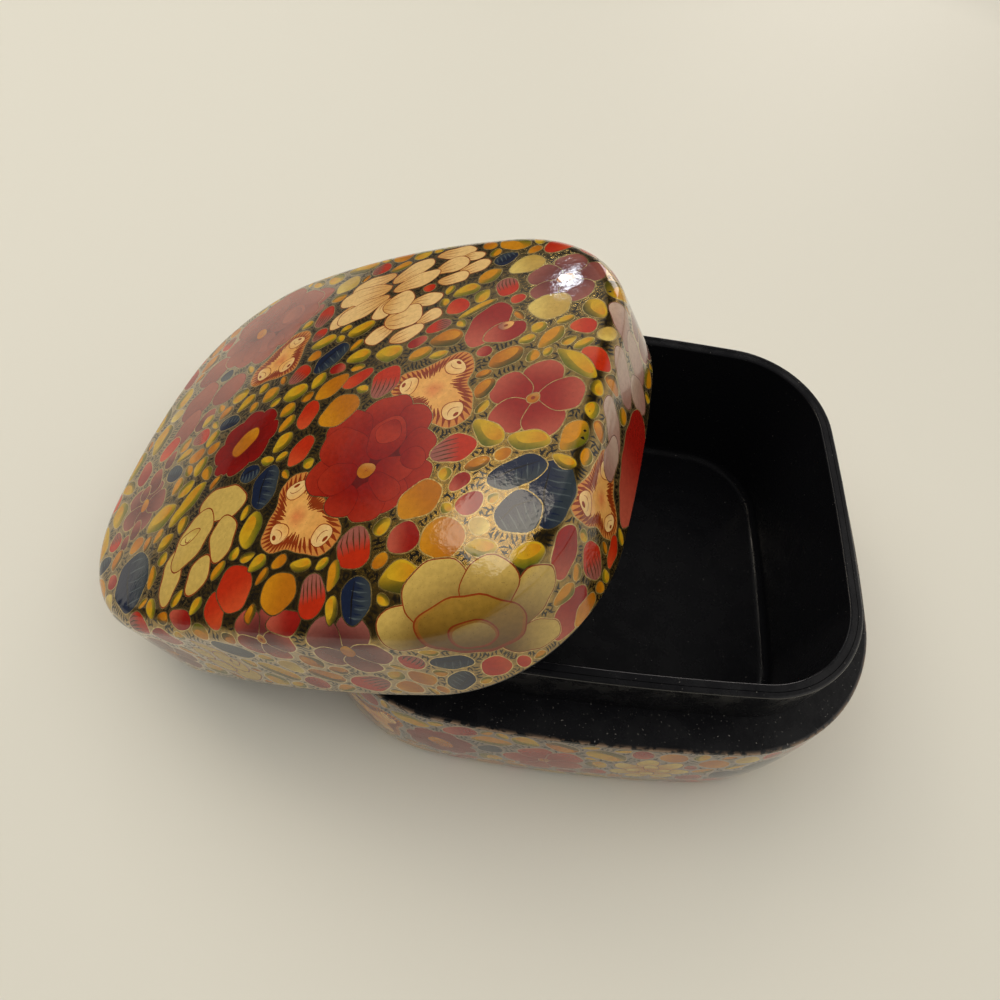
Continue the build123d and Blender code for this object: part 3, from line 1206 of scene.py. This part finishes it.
def black_lacquer(name, dust, worn_from=None):
    """Black lacquer, dulled by use, with pale dust caught in it, and chipped above a height."""
    material, tree, shader = principled(name)
    first, last = [level - dust for level in dust_levels]
    specks = noise(tree, *dust_grain, first, last, 0.0, 1.0)
    colour = mixed(tree, specks, lacquer_black, dust_grey)
    if worn_from:
        where = wired(tree, "TexCoord", "Object", {})
        height = wired(tree, "SeparateXYZ", "Z", {"Vector": where})
        above = ranged(tree, height, worn_from[1], worn_from[0], 0.0, 1.0)
        chips = noise(tree, *lacquer_chips)
        colour = mixed(tree, maths(tree, "MULTIPLY", above, chips), colour, chip_brown)
    rough = noise(tree, *lacquer_dulling)
    uneven = bump(tree, noise(tree, *lacquer_waves), *lacquer_relief)
    looks = {"Base Color": colour, "Roughness": rough, "Normal": uneven, "Specular IOR Level": 0.5}
    feed(tree, shader, looks)
    return material


def placed(name, data):
    """A new object in the scene."""
    made = bpy.data.objects.new(name, data)
    bpy.context.scene.collection.objects.link(made)
    return made


def camera_object():
    data = bpy.data.cameras.new("camera")
    data.lens, data.sensor_width, data.clip_start = camera_lens, sensor_width, MM
    camera = placed("camera", data)
    place = Vector(camera_at) * MM
    ahead = (Vector(camera_aim) * MM - place).normalized()
    facing = ahead.to_track_quat("-Z", "Y").to_matrix().to_4x4()
    roll = Matrix.Rotation(math.radians(camera_roll), 4, "Z")
    camera.matrix_world = Matrix.Translation(place) @ facing @ roll
    bpy.context.scene.camera = camera
    return camera


def area_light(name, place, size, power, colour, mirrored):
    """A lamp that faces the box. One that isn't mirrored lights without a glint of its own."""
    data = bpy.data.lights.new(name, "AREA")
    data.size, data.energy, data.color = size, power, colour
    light = placed(name, data)
    light.location = place
    light.rotation_euler = (Vector(lamp_aim) - Vector(place)).to_track_quat("-Z", "Y").to_euler()
    light.visible_glossy = mirrored


def floor():
    """A pale table top that falls into shade away from the box."""
    mesh = bpy.data.meshes.new("floor")
    corners = [(-1, -1), (1, -1), (1, 1), (-1, 1)]
    half = floor_size / 2
    mesh.from_pydata([(half * x, half * y, 0) for x, y in corners], [], [(0, 1, 2, 3)])
    material, tree, shader = principled("table_top")
    where = wired(tree, "TexCoord", "Object", {})
    away = wired(tree, "VectorMath", "Value", {0: where}, operation="LENGTH")
    shade = ranged(tree, away, *floor_shade)
    feed(tree, shader, {"Base Color": scaled(tree, table_pale, shade), "Roughness": 0.6})
    mesh.materials.append(material)
    made = placed("floor", mesh)


def world():
    """A dark room round a pale table, with a bright wall on the right and a pale patch behind."""
    room = bpy.data.worlds.new("room")
    room.use_nodes = True
    tree = room.node_tree
    way = wired(tree, "TexCoord", "Generated", {})
    side = wired(tree, "SeparateXYZ", "X", {"Vector": way})
    height = wired(tree, "SeparateXYZ", "Z", {"Vector": way})
    facing = wired(tree, "VectorMath", "Value", {0: way, 1: pale_wall_toward}, operation="DOT_PRODUCT")
    low = ranged(tree, height, *floor_glow)
    right = ranged(tree, side, *right_glow)
    patch = ranged(tree, facing, *pale_wall_glow)
    glow = maths(tree, "MAXIMUM", low, maths(tree, "MAXIMUM", patch, right))
    feed(tree, tree.nodes["Background"], {"Color": room_white, "Strength": glow})
    bpy.context.scene.world = room


def paint_piece(name, painting, part, to_world, body, materials):
    mesh = skin_mesh(name, painting, *part, to_world)
    for material in materials:
        mesh.materials.append(material)
    made = placed(name, mesh)
    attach(made, body)


bpy.context.scene.view_settings.view_transform = "Standard"
camera = camera_object()
floor()
world()
for name, lamp in lamps.items():
    area_light(name, *lamp)

lacquer, dusty_lacquer, worn_lacquer = [black_lacquer(name, *kind) for name, kind in lacquers.items()]
looks = {"base_shell": worn_lacquer, "collar_band": dusty_lacquer}
for name, node in frame["nodes"].items():
    node.data.materials.clear()
    node.data.materials.append(looks.get(name, lacquer))

paint = paint_material()
materials = [paint] + [gold_material(*gold) for gold in golds]
# The base's skin takes the darker golds, as painted shade
shaded_base_materials = [paint] + [gold_material(*gold) for gold in shaded_base_golds]

to_world = lid_matrix()
shell = frame["nodes"]["lid_shell"].data
tree = BVHTree.FromPolygons([v.co for v in shell.vertices], [tuple(p.vertices) for p in shell.polygons])
lid = Painting(LidSurface(), lid_seed)
lid_picture(Aim(lid, camera.matrix_world, to_world.inverted(), tree))
garland(lid, *lid_garland)
fill_gaps(lid)
add_ticks(lid)
spots, triangles, tops, shapes = cut_skin(lid)
top = lid.surface.is_top(spots)[triangles].all(axis=1)
for name, part in (("lid_top_painting", top), ("lid_side_painting", ~top)):
    paint_piece(name, lid, (spots, triangles[part], tops[part], shapes), to_world, "lid", materials)

base = Painting(BaseSurface(), base_seed)
garland(base, *base_garland)
fill_gaps(base)
add_ticks(base)
paint_piece("base_painting", base, cut_skin(base), Matrix.Identity(4), "base", shaded_base_materials)
